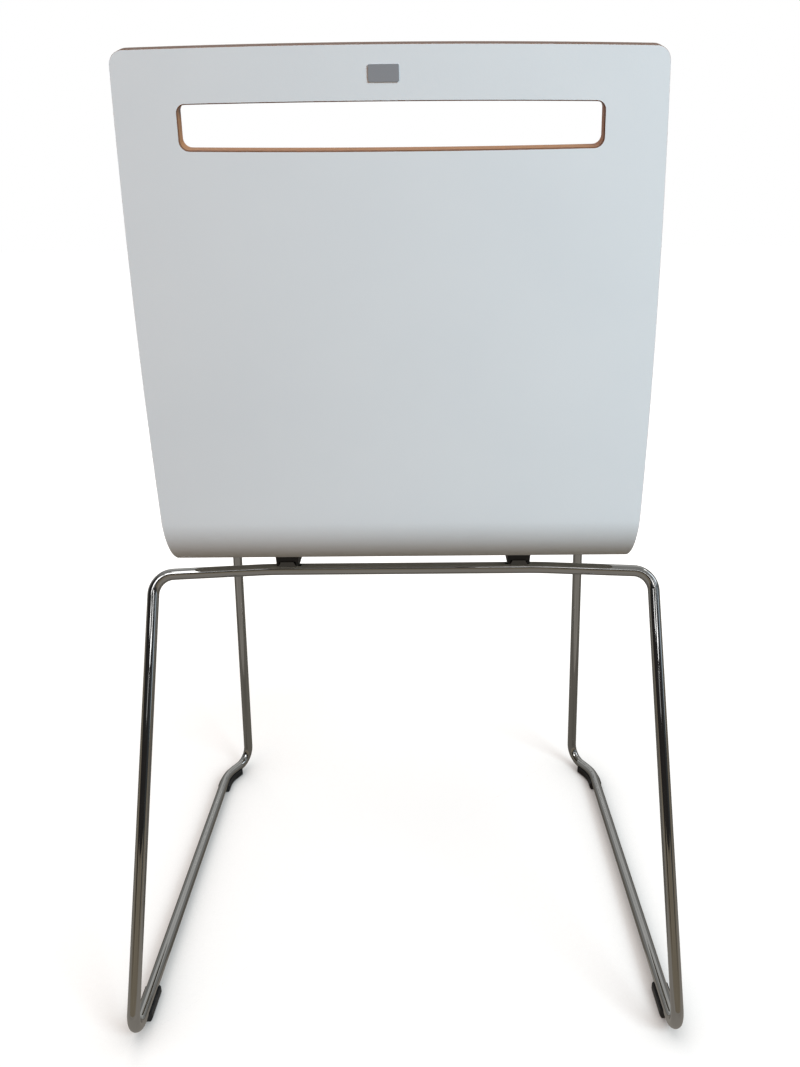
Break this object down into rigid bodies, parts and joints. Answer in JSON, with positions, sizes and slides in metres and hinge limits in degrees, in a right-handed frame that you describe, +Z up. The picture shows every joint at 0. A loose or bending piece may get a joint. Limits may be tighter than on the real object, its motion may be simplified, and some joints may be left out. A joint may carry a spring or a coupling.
{
  "type": "sled base chair",
  "caption": "Stacking side chair with a one-piece moulded plywood seat and back, a handle slot near the top, and a bent chrome rod sled frame on plastic glides.",
  "frame": {"origin": "on the floor under the middle of the chair's bounding box", "axes": "+Z up, the sitter faces -Y, +X is the sitter's left"},
  "size_m": [0.535, 0.532, 0.8611],
  "materials": {
    "plywood_edge": "clear lacquered plywood edge",
    "white_laminate": "satin high pressure laminate",
    "chrome_rod": "bright chrome plate",
    "black_plastic": "moulded nylon, fine matte",
    "zinc_steel": "zinc plated",
    "grey_plate": "satin grey, blank"
  },
  "bodies": {
    "root": {"shell_core": "plywood_edge", "outer_laminate": "white_laminate", "inner_laminate": "white_laminate", "blank_plate": "grey_plate", "frame_rod_left": "chrome_rod", "frame_rod_right": "chrome_rod", "mount_tab_rear_left": "chrome_rod", "mount_spacer_rear_left": "black_plastic", "mount_screw_rear_left": "zinc_steel", "tee_nut_rear_left": "zinc_steel", "glide_rear_left": "black_plastic", "mount_tab_rear_right": "chrome_rod", "mount_spacer_rear_right": "black_plastic", "mount_screw_rear_right": "zinc_steel", "tee_nut_rear_right": "zinc_steel", "glide_rear_right": "black_plastic", "mount_tab_front_left": "chrome_rod", "mount_spacer_front_left": "black_plastic", "mount_screw_front_left": "zinc_steel", "tee_nut_front_left": "zinc_steel", "glide_front_left": "black_plastic", "mount_tab_front_right": "chrome_rod", "mount_spacer_front_right": "black_plastic", "mount_screw_front_right": "zinc_steel", "tee_nut_front_right": "zinc_steel", "glide_front_right": "black_plastic"}
  },
  "joints": []
}
